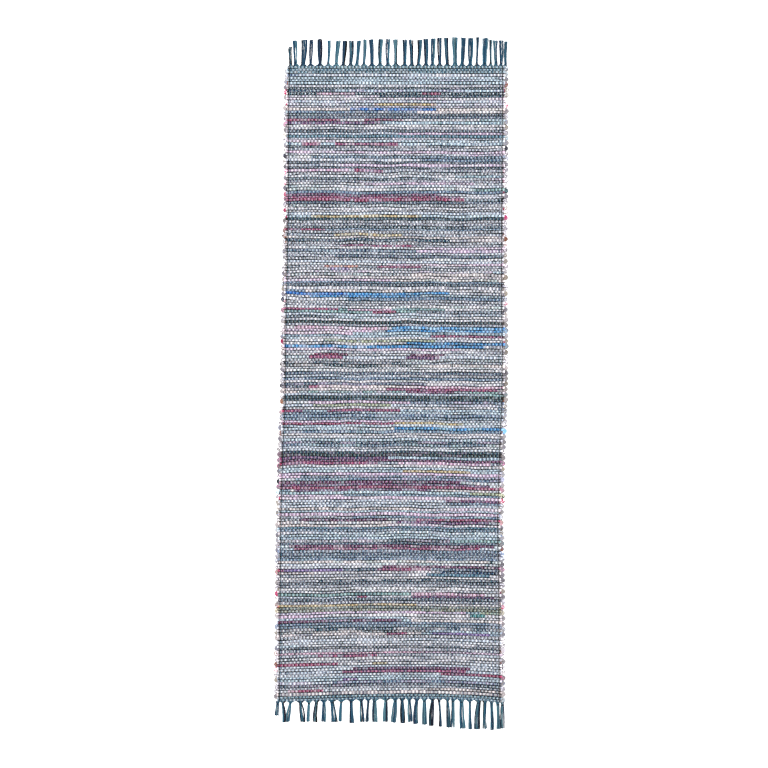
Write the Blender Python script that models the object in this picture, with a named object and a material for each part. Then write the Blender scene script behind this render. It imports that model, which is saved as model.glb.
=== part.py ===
"""Rag rug: a plain woven rag cloth with its warp knotted into a fringe at both ends.

Metres, +Z up. X runs across the cloth and Y along its length, far end at +Y. The origin is the middle
of the whole rug's box, on the floor that the rug lies on.
"""
from collections import namedtuple

import bmesh
import bpy
import numpy as np

# Cloth: every rag row is a rib with a flattened crown, which starts at its share of the row's depth
RAG_ROWS = 238
RIB_HEIGHT = 0.006
CROWN_SHARE = 0.28
FURROW_HEIGHT = 0.0034
LOOP_DEPTH = 0.0026
TURN_SHARE = 0.3
EDGE_JITTER = 0.0007

# Fringe: a narrow strip of header just off the cloth, with a gathered knot and locks for each bundle
SEAM_GAP = 0.0003
STRIP_DEPTH = 0.005
STRIP_HEIGHT = 0.0034
STRIP_CLEAR = 0.0004
STRIP_INSET = 0.004
KNOT_CLEAR = 0.0002
LOCK_SIDE = 0.0036
LOCK_PITCH = 0.0044
LOCK_ROOT_SHARE = 0.6
LOCK_ROOT_PITCH = 0.0025
LOCK_BEND = 0.0014
LOCK_TRIM = 0.004
LOCK_SWING = 0.67
KNOT_CROWN = 0.5

SEED = 7

Edge = namedtuple("Edge", "y left right")
Bow = namedtuple("Bow", "y left left_third right_third right")
Knot = namedtuple("Knot", "out half_width height")
Bundle = namedtuple("Bundle", "root tip reach locks")

# How far the cloth reaches to each side, down its length
EDGES = (
    Edge(0.978, -0.330, 0.359),
    Edge(0.852, -0.334, 0.359),
    Edge(0.560, -0.334, 0.357),
    Edge(0.262, -0.340, 0.356),
    Edge(0.112, -0.343, 0.359),
    Edge(-0.058, -0.344, 0.357),
    Edge(-0.205, -0.352, 0.350),
    Edge(-0.428, -0.358, 0.344),
    Edge(-0.668, -0.360, 0.348),
    Edge(-0.975, -0.362, 0.349),
)

# How far a row runs up (+) or down (-) from straight, at its ends and its thirds
BOWS = (
    Bow(0.978, 0.0, 0.0, 0.0, 0.0),
    Bow(0.180, 0.0015, 0.0006, -0.001, -0.003),
    Bow(-0.205, 0.001, 0.0008, -0.0006, -0.004),
    Bow(-0.440, -0.001, 0.0004, -0.0004, -0.005),
    Bow(-0.680, -0.006, -0.0006, 0.001, -0.004),
    Bow(-0.975, -0.007, -0.0005, 0.0025, -0.0105),
)

# A bundle's gather, from inside the strip to the knot and out of it
KNOTS = (
    Knot(0.003, 0.0075, 0.003),
    Knot(0.0105, 0.0046, 0.0054),
    Knot(0.0155, 0.0040, 0.0034),
)

# Bundles in millimetres: where the knot and the tip lie across the rug, the reach, and the locks
FAR_BUNDLES = (
    Bundle(-311, -313, 60, 3),
    Bundle(-295, -298, 80, 3),
    Bundle(-272, -268, 82, 4),
    Bundle(-249, -247, 82, 2),
    Bundle(-220, -221, 84, 3),
    Bundle(-195, -192, 80, 2),
    Bundle(-170, -163, 80, 3),
    Bundle(-148, -143, 79, 3),
    Bundle(-126, -123, 79, 3),
    Bundle(-106, -101, 80, 3),
    Bundle(-85, -82, 83, 2),
    Bundle(-60, -63, 83, 3),
    Bundle(-35, -32, 84, 3),
    Bundle(-11, -10, 84, 3),
    Bundle(13, 12, 82, 3),
    Bundle(41, 41, 83, 3),
    Bundle(63, 61, 82, 3),
    Bundle(83, 87, 82, 3),
    Bundle(107, 106, 83, 3),
    Bundle(127, 129, 82, 3),
    Bundle(149, 148, 83, 3),
    Bundle(172, 169, 83, 3),
    Bundle(196, 195, 84, 4),
    Bundle(218, 222, 82, 3),
    Bundle(243, 245, 82, 3),
    Bundle(263, 266, 84, 2),
    Bundle(287, 290, 84, 4),
    Bundle(306, 306, 81, 2),
    Bundle(322, 321, 80, 3),
    Bundle(338, 338, 80, 3),
    Bundle(352, 353, 77, 2),
)
NEAR_BUNDLES = (
    Bundle(-351, -354, 46, 3),
    Bundle(-335, -331, 66, 2),
    Bundle(-312, -320, 65, 2),
    Bundle(-280, -273, 66, 3),
    Bundle(-254, -257, 66, 2),
    Bundle(-231, -236, 68, 3),
    Bundle(-208, -209, 68, 3),
    Bundle(-183, -176, 70, 4),
    Bundle(-155, -158, 68, 2),
    Bundle(-124, -122, 74, 3),
    Bundle(-93, -90, 72, 3),
    Bundle(-71, -75, 72, 2),
    Bundle(-52, -51, 73, 4),
    Bundle(-17, -19, 73, 3),
    Bundle(12, 7, 76, 3),
    Bundle(33, 35, 78, 3),
    Bundle(55, 58, 74, 3),
    Bundle(78, 75, 78, 3),
    Bundle(101, 102, 78, 3),
    Bundle(127, 123, 79, 3),
    Bundle(147, 151, 80, 2),
    Bundle(173, 175, 82, 2),
    Bundle(190, 188, 80, 3),
    Bundle(216, 220, 83, 4),
    Bundle(242, 243, 83, 2),
    Bundle(269, 264, 82, 4),
    Bundle(288, 287, 80, 3),
    Bundle(309, 311, 82, 3),
    Bundle(330, 328, 78, 2),
    Bundle(346, 346, 72, 4),
)
MILLIMETRE = 0.001
CAP_WELD = 1e-6

# Where the middle of the finished rug's box falls on the tables' own axes
RUG_MIDDLE = (-0.0014, -0.0014)

CLOTH_COLOUR = (0.40, 0.47, 0.55, 1.0)
FRINGE_COLOUR = (0.05, 0.13, 0.20, 1.0)
CLOTH_ROUGHNESS = 0.95


def clear_scene():
    """Empty the scene of whatever it opened with."""
    for thing in list(bpy.data.objects):
        bpy.data.objects.remove(thing, do_unlink=True)


def make_collection(name):
    """A new collection under the scene's own."""
    collection = bpy.data.collections.new(name)
    bpy.context.scene.collection.children.link(collection)
    return collection


def make_material(name, colour):
    """A matt cloth material of one colour."""
    material = bpy.data.materials.new(name)
    material.use_nodes = True
    shader = material.node_tree.nodes["Principled BSDF"]
    shader.inputs["Base Color"].default_value = colour
    shader.inputs["Roughness"].default_value = CLOTH_ROUGHNESS
    shader.inputs["Metallic"].default_value = 0.0
    return material


def read_table(table, column, at):
    """The column's value at each y in at, straight between the table's rows."""
    ys = [row.y for row in reversed(table)]
    values = [getattr(row, column) for row in reversed(table)]
    return np.interp(at, ys, values)


def edge_line(y):
    """The points, each x and y, where a row nominally at y crosses its ends and its thirds."""
    left = read_table(EDGES, "left", y)
    right = read_table(EDGES, "right", y)
    bows = [read_table(BOWS, column, y) for column in Bow._fields[1:]]
    xs = np.linspace(left, right, len(bows))
    return np.column_stack([xs, y + np.array(bows)])


def loft(rings):
    """A closed bmesh through rings of one even count of points, listed the same way round.

    Each end is closed by four-sided faces from a ring's first half to its second, which runs back.
    """
    body = bmesh.new()
    rows = [[body.verts.new(point) for point in ring] for ring in rings]
    count = len(rows[0])
    for near, far in zip(rows, rows[1:]):
        for i in range(count):
            j = (i + 1) % count
            body.faces.new((near[i], near[j], far[j], far[i]))
    for end in (rows[0], rows[-1]):
        for i in range(count // 2 - 1):
            body.faces.new((end[i], end[i + 1], end[count - 2 - i], end[count - 1 - i]))
    bmesh.ops.recalc_face_normals(body, faces=body.faces)
    return body


def to_object(body, name, collection, material=None):
    """Put a bmesh into a new object of that name."""
    mesh = bpy.data.meshes.new(name)
    body.to_mesh(mesh)
    body.free()
    thing = bpy.data.objects.new(name, mesh)
    collection.objects.link(thing)
    if material:
        mesh.materials.append(material)
    return thing


def cloth_ring(y, height, left_shift, right_shift):
    """A section across the cloth: up its top from left to right, and back along the floor."""
    line = edge_line(y)
    line[0, 0] -= left_shift
    line[-1, 0] += right_shift
    top = [(x, across, height) for x, across in line]
    floor = [(x, across, 0.0) for x, across in line[::-1]]
    return top + floor


def make_cloth(collection, material, rng):
    """The woven field, a rib for each rag row, the rags standing out in loops at the selvedges.

    A rag turns round every second furrow at the left and round the others at the right, and the
    furrow is shallower there.
    """
    furrows = np.linspace(EDGES[0].y, EDGES[-1].y, RAG_ROWS + 1)
    jitter = rng.uniform(-EDGE_JITTER, EDGE_JITTER, (len(furrows), 2))
    rings = []
    for row, y in enumerate(furrows):
        turn = (-LOOP_DEPTH * TURN_SHARE, -LOOP_DEPTH)
        left, right = turn if row % 2 == 0 else turn[::-1]
        rings.append(cloth_ring(y, FURROW_HEIGHT, left, right))
        if row < RAG_ROWS:
            step = furrows[row + 1] - y
            for share in (CROWN_SHARE, 1 - CROWN_SHARE):
                rings.append(cloth_ring(y + share * step, RIB_HEIGHT, *jitter[row]))
    return to_object(loft(rings), "woven_field", collection, material)


def make_strip(end_y, outward, collection, name, material):
    """The narrow header strip along one end of the cloth, a seam's gap off it."""
    rings = []
    line = edge_line(end_y)
    line[0, 0] += STRIP_INSET
    line[-1, 0] -= STRIP_INSET
    for x, y in line:
        near = y + outward * SEAM_GAP
        far = near + outward * STRIP_DEPTH
        rings.append(
            [
                (x, near, STRIP_CLEAR),
                (x, far, STRIP_CLEAR),
                (x, far, STRIP_HEIGHT),
                (x, near, STRIP_HEIGHT),
            ]
        )
    return to_object(loft(rings), name, collection, material)


def add_body(into, body):
    """Move one bmesh into another."""
    mesh = bpy.data.meshes.new("joined")
    body.to_mesh(mesh)
    body.free()
    into.from_mesh(mesh)
    bpy.data.meshes.remove(mesh)


def make_knots(end_y, outward, bundles, collection):
    """The gathers of one end in one mesh, each wide at the strip and drawn in to a knot."""
    line = edge_line(end_y)
    knots = bmesh.new()
    for bundle in bundles:
        root = bundle.root * MILLIMETRE
        edge = np.interp(root, line[:, 0], line[:, 1])
        rings = []
        for knot in KNOTS:
            y = edge + outward * knot.out
            rings.append(
                [
                    (root - knot.half_width, y, KNOT_CLEAR),
                    (root + knot.half_width, y, KNOT_CLEAR),
                    (root + knot.half_width * KNOT_CROWN, y, knot.height),
                    (root - knot.half_width * KNOT_CROWN, y, knot.height),
                ]
            )
        add_body(knots, loft(rings))
    return to_object(knots, "knots", collection)


def make_locks(end_y, outward, bundles, collection, rng):
    """The locks of one end: square strands side by side, tapered into the knot, level on the floor."""
    line = edge_line(end_y)
    data = bpy.data.curves.new("locks", "CURVE")
    data.dimensions = "3D"
    data.twist_mode = "Z_UP"
    data.bevel_depth = LOCK_SIDE / np.sqrt(2)
    data.bevel_resolution = 0
    data.use_fill_caps = True
    for bundle in bundles:
        root = bundle.root * MILLIMETRE
        tip = bundle.tip * MILLIMETRE
        edge = np.interp(root, line[:, 0], line[:, 1])
        knot_y = edge + outward * KNOTS[1].out
        bend = rng.uniform(-LOCK_BEND, LOCK_BEND)
        for number in range(bundle.locks):
            place = number - (bundle.locks - 1) / 2
            reach = bundle.reach * MILLIMETRE - rng.uniform(0.0, LOCK_TRIM)
            tip_y = edge + outward * reach
            tip_x = tip + place * LOCK_PITCH
            root_x = root + place * LOCK_ROOT_PITCH
            middle_x = root_x + LOCK_SWING * (tip_x - root_x) + bend
            path = [(root_x, knot_y), (middle_x, (knot_y + tip_y) / 2), (tip_x, tip_y)]
            spline = data.splines.new("POLY")
            spline.points.add(len(path) - 1)
            for point, (x, y), radius in zip(spline.points, path, (LOCK_ROOT_SHARE, 1.0, 1.0)):
                point.co = (x, y, radius * LOCK_SIDE / 2, 1.0)
                point.radius = radius
                point.tilt = np.pi / 4
    return to_mesh_object(data, collection)


def to_mesh_object(data, collection):
    """Make a curve's tubes a mesh object, with their caps welded on."""
    curve = bpy.data.objects.new(data.name, data)
    collection.objects.link(curve)
    bpy.context.view_layer.update()
    evaluated = curve.evaluated_get(bpy.context.evaluated_depsgraph_get())
    mesh = bpy.data.meshes.new_from_object(evaluated)
    body = bmesh.new()
    body.from_mesh(mesh)
    bmesh.ops.remove_doubles(body, verts=body.verts, dist=CAP_WELD)
    bmesh.ops.recalc_face_normals(body, faces=body.faces)
    bpy.data.meshes.remove(mesh)
    made = to_object(body, data.name, collection)
    made.matrix_world = curve.matrix_world
    bpy.data.objects.remove(curve, do_unlink=True)
    return made


def fuse(strip, piece):
    """Join a piece to the strip with a Boolean union and hide the piece as a guide."""
    piece.hide_render = True
    piece.display_type = "WIRE"
    union = strip.modifiers.new(piece.name, "BOOLEAN")
    union.operation = "UNION"
    union.solver = "EXACT"
    union.use_self = True
    union.object = piece


def make_fringe(name, end_y, outward, bundles, collection, guides, material, rng):
    """One end's fringe: the strip with its knots and locks fused on."""
    strip = make_strip(end_y, outward, collection, name, material)
    fuse(strip, make_knots(end_y, outward, bundles, guides))
    fuse(strip, make_locks(end_y, outward, bundles, guides, rng))


def main():
    clear_scene()
    rng = np.random.default_rng(SEED)
    parts = make_collection("rag_rug")
    guides = make_collection("guides")
    cloth_material = make_material("woven_rag", CLOTH_COLOUR)
    fringe_material = make_material("warp_yarn", FRINGE_COLOUR)
    rug = bpy.data.objects.new("rag_rug", None)
    parts.objects.link(rug)
    make_cloth(parts, cloth_material, rng)
    make_fringe("fringe_far", EDGES[0].y, 1.0, FAR_BUNDLES, parts, guides, fringe_material, rng)
    make_fringe("fringe_near", EDGES[-1].y, -1.0, NEAR_BUNDLES, parts, guides, fringe_material, rng)
    for piece in (*parts.objects, *guides.objects):
        if piece != rug:
            piece.parent = rug
    rug.location = (-RUG_MIDDLE[0], -RUG_MIDDLE[1], 0.0)


main()
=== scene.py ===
"""Rag rug: rag weft on a striped warp, knotted warp fringes, floor, light and camera.

Every piece is a surface worked out with numpy on a grid of two parameters. Lengths are metres. X runs
across the rug, Y along it towards the far end, and Z up from the floor.
"""
from collections import namedtuple

import bpy
import numpy as np
from bpy.props import FloatProperty, FloatVectorProperty, IntProperty, PointerProperty
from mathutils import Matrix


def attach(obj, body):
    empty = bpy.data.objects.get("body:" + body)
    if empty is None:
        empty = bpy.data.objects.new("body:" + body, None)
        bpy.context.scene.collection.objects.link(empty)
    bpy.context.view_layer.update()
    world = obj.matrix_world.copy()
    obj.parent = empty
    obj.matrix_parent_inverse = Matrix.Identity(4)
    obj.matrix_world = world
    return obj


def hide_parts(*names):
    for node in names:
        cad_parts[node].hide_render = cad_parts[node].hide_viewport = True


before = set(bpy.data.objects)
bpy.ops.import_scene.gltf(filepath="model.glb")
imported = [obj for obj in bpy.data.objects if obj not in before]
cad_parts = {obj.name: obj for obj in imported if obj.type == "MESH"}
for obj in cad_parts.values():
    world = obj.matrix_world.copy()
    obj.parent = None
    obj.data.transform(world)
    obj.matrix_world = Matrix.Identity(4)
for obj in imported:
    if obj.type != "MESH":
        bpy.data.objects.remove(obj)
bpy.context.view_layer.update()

bl_info = {
    "name": "Rag Rug",
    "version": (1, 0, 0),
    "blender": (4, 5, 0),
    "location": "View3D > Sidebar > Rag Rug",
    "description": "Weaves a rag rug with a striped warp and knotted fringes",
    "category": "Add Mesh",
}

RUG_MIDDLE = (-0.0014, -0.0014)
MILLIMETRE = 0.001
# Each random stream adds a number of its own to the seed
SEED = 11

# How far a furrow may lie off the even pitch, and how far a row wanders along its length: slowly and
# quickly, each with its changes across and down, and coming in over a share of 1 / fade from each end
FURROW_JITTER = 0.0015
SLOW_WANDER = 0.0024
SLOW_CHANGES = (9, 30)
QUICK_WANDER = 0.0011
QUICK_CHANGES = (44, 160)
WANDER_FADE = 6

# A rag's section as shares of its half width and half height, round from its left side
RAG_SECTION = (
    (1.0, -0.24), (1.0, 0.24), (0.465, 1.0), (-0.465, 1.0),
    (-1.0, 0.24), (-1.0, -0.24), (-0.465, -1.0), (0.465, -1.0),
)
# Where each side of the section starts in a row's strip of the bake map, its top being widest
SECTION_STARTS = (0.0, 0.06, 0.30, 0.62, 0.86, 0.92, 0.95, 0.98, 1.0)
SECTION_GIRTH = 0.022
# Painted shade at each point of the section, for the shade down in the furrows: full at the sides and
# bottom, none on the top
SECTION_PAINTED_SHADE = (1.0, 1.0, 0.0, 0.0, 1.0, 1.0, 1.0, 1.0)
RAG_STATIONS = 48
RAG_OVERLAP = 0.00012
RAG_SWELL = 0.06
SWELL_CHANGES = 60
BRIGHTEST_CLOTH = 0.97

# How unevenly the painted shade in the furrows spreads along their length, and how unevenly bright a rag's
# cloth is along and across the rows
FURROW_CHANGES = 10
FURROW_DEPTH = 1.3
FURROW_SHADE_SPREADS = (0.35, 2.2)
TONE_CHANGES = 14
TONE_DEPTH = 0.15

# A rag's turn at the selvedge: where it starts inside the edge, its reach, half width and height
TURN_INSET = 0.0092
LEFT_REACH = 0.0060
RIGHT_REACH = 0.0084
TURN_HALF_WIDTH = 0.0036
TURN_FLATTEN = 0.86
TURN_STATIONS = 4
# How much of the painted furrow shade a rag keeps outside the last warp end, where its turn lies open
TURN_PAINTED_SHADE = 0.3
# Cloths that show in some rows' turns instead of their own, in 8-bit colours darkened with painted shade
# for the shade and gaps among the loops, and how many rows' each
SHADED_TURN_CLOTHS = ((102, 98, 103), (132, 127, 128), (120, 112, 102), (142, 38, 72), (112, 68, 48), (40, 40, 46))
TURN_SHARES = (0.36, 0.30, 0.14, 0.05, 0.03, 0.04)
TURN_REACHES = (0.85, 1.2)
TURN_WIDTHS = (0.95, 1.15)

# A float's stations along its warp end, in half rows, with the ridge's rise over the rag's crown
FLOAT_STATIONS = (-1.04, -0.5, 0.5, 1.04)
FLOAT_RISE = (-0.0018, 0.00048, 0.00048, -0.0018)
FLOAT_DROP = 0.0006
# Painted shade along a float: none on its ridge, full at both ends where it dives into the furrows
FLOAT_PAINTED_SHADE = (1.0, 0.0, 0.0, 1.0)
FLOAT_WIDTHS = (0.9, 1.1)
# How far an end strays sideways, in how many changes along it, and how much more each float does
END_WANDER = 0.00014
END_CHANGES = 60
FLOAT_WANDER = 0.6
SELVEDGE_WIDTH = 0.0036
# How far the doubled end lies outside the last one, in the warp's own pitch
SELVEDGE_SPREAD = 0.4
UNDER_HEIGHT = 0.0002
UNDER_SHARE = 0.9
# A float's cell in the bake map: half its width as a share of the map, and half its length in rows
CELL_HALF = 0.0066
CELL_DEPTH = 0.44
# How far apart two yarns lie in the weave map
WEAVE_GAP = 0.01
# How much of the bake map the walls of tubes fill, and where their ends' patches lie over that
WALL_SHARE = 0.99
CAP_START = 0.993
CAP_INSET = 0.1

# Fringe yarns, from inside the header to the knot and along the locks
YARN_SIDES = 6
YARN_STATIONS = 12
LEAD_OUT = (-0.0015, 0.0015, 0.0045)
LEAD_DRAW = (0.0, 0.35, 0.8)
HEADER_HEIGHT = 0.0031
OUTER_GATHER = 0.005
KNOT_OUT = 0.0075
KNOT_MIDDLE = 0.0030
LOCK_ROOT_PITCH = 0.0028
LOCK_PITCH = 0.0045
LOCK_SWING = 0.67
LOCK_BEND = 0.0022
# How far a lock's yarns lie off its middle line, with the shares of it at the knot and added at the tip
LOCK_SPREAD = 0.0018
KNOT_SPREAD = 0.7
TIP_SPREAD = 0.6
YARN_SPREADS = (0.7, 1.3)
# How far in radians the yarns turn round that line at most, how far each strays, and their flatness
LOCK_TWIST = 2.2
YARN_STRAY = 0.25
LOCK_FLATTEN = 0.8
# A lock's height past the knot, reached at a share of 1 / fall of its length
LOCK_HEIGHT = 0.0019
LOCK_FALL = 5
LOCK_TRIM = 0.0007
YARN_TRIM = 0.0025
YARN_REST = 0.0011
YARN_WIDTHS = (0.88, 1.12)
YARN_GIRTH = 0.0045

# A knot's two wraps: half sizes across and up, the yarn's half thickness, and how far they cross
WRAP_REACH = 0.0031
WRAP_RISE = 0.0017
WRAP_RADIUS = 0.00115
WRAP_TURN = 0.5
WRAP_TURNS = (0.5, 1.2)
WRAP_REACHES = (0.9, 1.1)
WRAP_STRAY = 0.0012
WRAP_STEPS = 16
WRAP_SIDES = 6
WRAP_GIRTH = 0.006
WRAP_LENGTH = 0.018

Edge = namedtuple("Edge", "y left right")
Bow = namedtuple("Bow", "y left left_third right_third right")
Warp = namedtuple("Warp", "name colour fleck width")
Rag = namedtuple("Rag", "name colour ink print share")

# How far the cloth reaches to each side, down its length
EDGES = (
    Edge(0.978, -0.330, 0.359),
    Edge(0.852, -0.334, 0.359),
    Edge(0.560, -0.334, 0.357),
    Edge(0.262, -0.340, 0.356),
    Edge(0.112, -0.343, 0.359),
    Edge(-0.058, -0.344, 0.357),
    Edge(-0.205, -0.352, 0.350),
    Edge(-0.428, -0.358, 0.344),
    Edge(-0.668, -0.360, 0.348),
    Edge(-0.975, -0.362, 0.349),
)

# How far a row runs up (+) or down (-) from straight, at its ends and its thirds
BOWS = (
    Bow(0.978, 0.0, 0.0, 0.0, 0.0),
    Bow(0.180, 0.0015, 0.0006, -0.001, -0.003),
    Bow(-0.205, 0.001, 0.0008, -0.0006, -0.004),
    Bow(-0.440, -0.001, 0.0004, -0.0004, -0.005),
    Bow(-0.680, -0.006, -0.0006, 0.001, -0.004),
    Bow(-0.975, -0.007, -0.0005, 0.0025, -0.0105),
)

# Bundles: where the knot and the tip lie across the rug and the reach, in millimetres, and the locks
FAR_BUNDLES = (
    (-311, -313, 60, 3), (-295, -298, 80, 3), (-272, -268, 82, 4), (-249, -247, 82, 2),
    (-220, -221, 84, 3), (-195, -192, 80, 2), (-170, -163, 80, 3), (-148, -143, 79, 3),
    (-126, -123, 79, 3), (-106, -101, 80, 3), (-85, -82, 83, 2), (-60, -63, 83, 3),
    (-35, -32, 84, 3), (-11, -10, 84, 3), (13, 12, 82, 3), (41, 41, 83, 3),
    (63, 61, 82, 3), (83, 87, 82, 3), (107, 106, 86, 3), (127, 129, 86, 3),
    (149, 148, 88, 3), (172, 169, 88, 3), (196, 195, 90, 4), (218, 222, 89, 3),
    (243, 245, 88, 3), (263, 266, 89, 2), (287, 290, 88, 4), (306, 306, 83, 2),
    (322, 321, 80, 3), (338, 338, 80, 3), (352, 353, 77, 2),
)
NEAR_BUNDLES = (
    (-351, -354, 46, 3), (-335, -331, 66, 2), (-312, -320, 65, 2), (-280, -273, 66, 3),
    (-254, -257, 66, 2), (-231, -236, 68, 3), (-208, -209, 68, 3), (-183, -176, 70, 4),
    (-155, -158, 68, 2), (-124, -122, 74, 3), (-93, -90, 72, 3), (-71, -75, 72, 2),
    (-52, -51, 73, 4), (-17, -19, 73, 3), (12, 7, 76, 3), (33, 35, 78, 3),
    (55, 58, 74, 3), (78, 75, 80, 3), (101, 102, 83, 3), (127, 123, 86, 3),
    (147, 151, 88, 2), (173, 175, 90, 2), (190, 188, 89, 3), (216, 220, 91, 4),
    (242, 243, 92, 2), (269, 264, 91, 4), (288, 287, 88, 3), (309, 311, 90, 3),
    (328, 330, 86, 3), (342, 342, 82, 3),
)

# The warp's repeat of six ends, in 8-bit colours with a fleck's colour, and each yarn's width
WARPS = (
    Warp("warp_black", (12, 10, 13), (36, 32, 38), 0.00270),
    Warp("warp_teal", (20, 80, 98), (54, 120, 134), 0.00155),
    Warp("warp_petrol", (18, 68, 86), (46, 104, 118), 0.00155),
    Warp("warp_navy", (16, 18, 48), (40, 46, 90), 0.00260),
    Warp("warp_heather", (104, 128, 134), (176, 192, 194), 0.00135),
    Warp("warp_sea", (96, 120, 126), (166, 184, 188), 0.00135),
)

# Fringe yarns: 8-bit colours from lightest to darkest, and how much of each
FRINGE_COLOURS = ((60, 90, 100), (32, 68, 84), (20, 50, 70), (16, 34, 54), (12, 14, 28), (10, 11, 12))
FRINGE_SHARES = (0.14, 0.27, 0.24, 0.16, 0.10, 0.09)
# How many of a lock's yarns take the lock's colour, not one of their own
LOCK_LIKENESS = 0.66
KNOT_COLOURS = FRINGE_COLOURS[2:]

# Rags: 8-bit colours of the cloth and of what is printed on it, the print's share, and how many in a pile
RAGS = (
    Rag("white", (242, 235, 241), (130, 130, 152), 0.20, 9),
    Rag("cream", (248, 232, 232), (176, 156, 158), 0.20, 3),
    Rag("ice", (216, 230, 242), (104, 118, 146), 0.30, 3),
    Rag("mist", (196, 202, 218), (250, 246, 252), 0.40, 3),
    Rag("lilac", (222, 184, 216), (252, 238, 250), 0.35, 3),
    Rag("mint", (176, 202, 200), (84, 120, 124), 0.30, 1),
    Rag("grey", (134, 128, 138), (236, 232, 240), 0.45, 2),
    Rag("denim", (104, 116, 142), (200, 206, 220), 0.35, 2),
    Rag("slate", (70, 70, 86), (188, 186, 198), 0.38, 1),
    Rag("petrol", (74, 106, 126), (156, 178, 194), 0.35, 0),
    Rag("ink", (30, 32, 46), (216, 216, 224), 0.32, 1),
    Rag("charcoal", (46, 42, 40), (116, 110, 104), 0.25, 0),
    Rag("navy", (30, 42, 90), (216, 220, 232), 0.25, 0),
    Rag("pink", (222, 160, 194), (250, 226, 238), 0.45, 0),
    Rag("cobalt", (34, 92, 196), (120, 170, 230), 0.35, 0),
    Rag("azure", (50, 130, 206), (150, 200, 236), 0.35, 0),
    Rag("turquoise", (28, 100, 112), (160, 210, 200), 0.40, 0),
    Rag("crimson", (150, 36, 78), (206, 128, 162), 0.35, 0),
    Rag("wine", (102, 36, 76), (176, 112, 150), 0.35, 0),
    Rag("purple", (124, 80, 148), (200, 170, 212), 0.35, 0),
    Rag("ochre", (200, 164, 104), (236, 222, 186), 0.40, 0),
    Rag("olive", (158, 158, 118), (220, 222, 192), 0.40, 0),
    Rag("khaki", (112, 106, 88), (196, 190, 172), 0.40, 0),
    Rag("orange", (226, 112, 76), (246, 190, 160), 0.35, 0),
    Rag("header", (74, 104, 124), (184, 198, 208), 0.45, 0),
)
SHORTEST_RAG = 0.30
LONGEST_RAG = 1.30

# How the dye changes along a rag: how many changes in a row, how strong, and towards how many kinds
DYE_CHANGES = 30
DYE_STRENGTH = 0.6
DYE_LEVEL = 0.3
DYE_KINDS = 9
STRIPE_BREAKS = 44
STRIPE_LEVEL = 0.15
STRIPE_DEPTH = 1.3
WHOLE_BREAKS = 0.6

# Noises: their stretch along and across the weave map where they have one, their scale and their detail
PRINT_NOISE = ((1.0, 1.6, 1.0), 230.0, 1.5)
FOLD_NOISE = ((22.0, 900.0, 1.0), 1.0, 2.0)
SHADE_SPREAD_NOISE = ((90.0, 40.0, 1.0), 1.0, 1.0)
WEAR_NOISE = (30.0, 2.0)
FLECK_NOISE = (1400.0, 1.0)

# Where noise turns to print for a rag without any, how a rag's print moves that, and the blur
PRINT_START = 0.68
PRINT_FALL = -0.36
PRINT_EDGE = (-0.02, 0.02, 0.0, 1.0)
# How far noise spreads the painted shade in the furrows
SHADE_SPREAD_DEPTH = 1.9
# What keeps the numbers of one row's blocks, two warp ends each, off those of the next
BLOCK_STRIDE = 1000.0
PILLOW_BUMP = -0.5
FOLD_BUMP = 0.6

# How values shade the rag and the yarn: a value's range, and the shades at both ends of it. The folds',
# pillows', furrows' and dark floats' shades are painted shade; wear and each block's chance are the cloth's
# own uneven tone
RAG_SHADES = {
    # Painted shade in the rag's lengthwise folds
    "fold_bump_and_shade": (0.3, 0.55, 0.75, 1.0),
    "wear": (0.3, 0.7, 0.92, 1.0),
    # Painted shade at a pillow's pinched edges beside the warp floats
    "pillow_bump_and_shade": (-0.8, 0.1, 1.0, 0.5),
    # Painted shade down in the furrows between rows
    "painted_furrow_shade": (0.34, 0.6, 1.0, 0.02),
    # Painted shade on the rag beside the black and navy floats
    "dark_float_shade": (-0.5, 0.95, 1.0, 0.36),
    "block": (0.0, 0.6, 0.58, 1.0),
}
# The yarn's ply lines, and its painted shade where a float dives into a furrow
YARN_SHADES = {"plies": (0.0, 0.6, 0.7, 1.05), "painted_furrow_shade": (0.3, 0.7, 1.0, 0.05)}
# How noise turns to flecks, in the same form, and how much lighter than its yarn a fringe's fleck is
YARN_FLECKS = (0.46, 0.62, 0.0, 0.8)
PALE_FLECK = 1.35

LAMP_PLACE = (-1.6, 2.2, 4.2)
LAMP_TURN = (-0.48, -0.36, 0.0)
CAMERA_PLACE = (-0.0214, -0.0017)
SENSOR_WIDTH = 36.0

# Rag rows charted, counted from the far end: those that one rag fills, and spans of rows,
# each a row with its start and end in hundredths of the width
WHOLE_ROWS = {
    "header": (0, 1, 2, 236, 237),
    "white": (7, 22, 83, 113, 114, 139, 192, 196, 197),
    "ice": (4, 5, 6, 129, 140, 151, 152, 167, 176, 177, 229, 230),
    "mist": (13, 14, 55, 73, 93, 127, 165, 215, 216, 228),
    "grey": (
        27, 31, 39, 40, 43, 52, 58, 59, 62, 63, 66, 67,
        75, 76, 88, 89, 97, 149, 195, 201, 214, 219, 233,
    ),
    "denim": (47, 81, 117, 131, 132, 137, 174, 182, 184, 185, 209, 210),
    "slate": (18, 19, 24, 36, 38, 51, 82, 115, 179, 183, 189, 194, 200, 218, 232),
    "petrol": (26, 173),
    "ink": (8,),
    "charcoal": (57, 96, 124, 125, 145, 146),
    "wine": (148,),
    "crimson": (158,),
    "khaki": (203, 204),
}
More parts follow.
